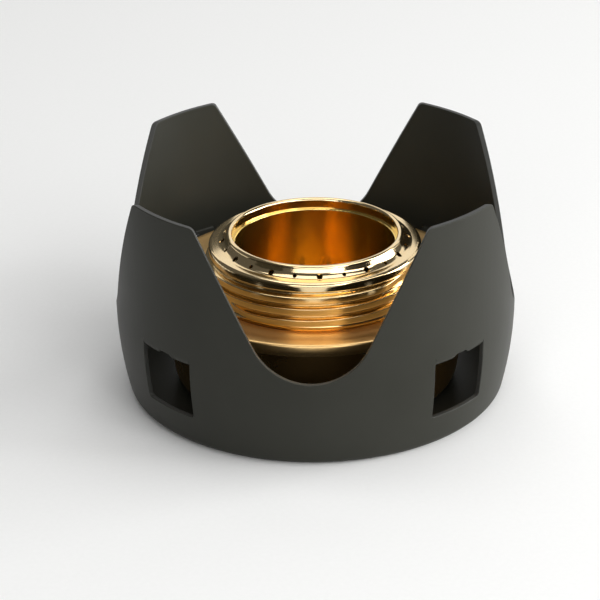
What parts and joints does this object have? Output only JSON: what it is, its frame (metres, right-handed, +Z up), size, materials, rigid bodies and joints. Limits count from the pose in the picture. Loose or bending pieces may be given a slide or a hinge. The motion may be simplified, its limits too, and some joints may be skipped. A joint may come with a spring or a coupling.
{
  "type": "alcohol spirit stove",
  "caption": "Brass double-wall alcohol burner with a ring of flame jets, standing loose in a pressed aluminium pot stand with broad prongs, V notches and low air vents.",
  "frame": {"origin": "centre of the pot stand's flat base, where it rests on the ground", "axes": "+Z up along the burner's axis; the front notch faces -Y; the prongs are at 45 degrees to X and Y"},
  "size_m": [0.098, 0.098, 0.0574],
  "materials": {
    "anodised_aluminium": "dark grey satin anodised",
    "polished_brass": "polished",
    "brushed_brass": "turned and brushed",
    "drawn_brass": "dull drawn",
    "cotton_wick": "packed cotton"
  },
  "bodies": {
    "stand": {"pot_stand": "anodised_aluminium"},
    "burner": {"reservoir_cup": "drawn_brass", "threaded_collar": "brushed_brass", "jet_crown": "polished_brass", "inner_well": "drawn_brass", "wick_packing": "cotton_wick"}
  },
  "joints": [
    {"name": "burner_lift", "type": "slide", "parent": "stand", "child": "burner", "axis": [0, 0, 1], "range_m": [0, 0.07]}
  ]
}
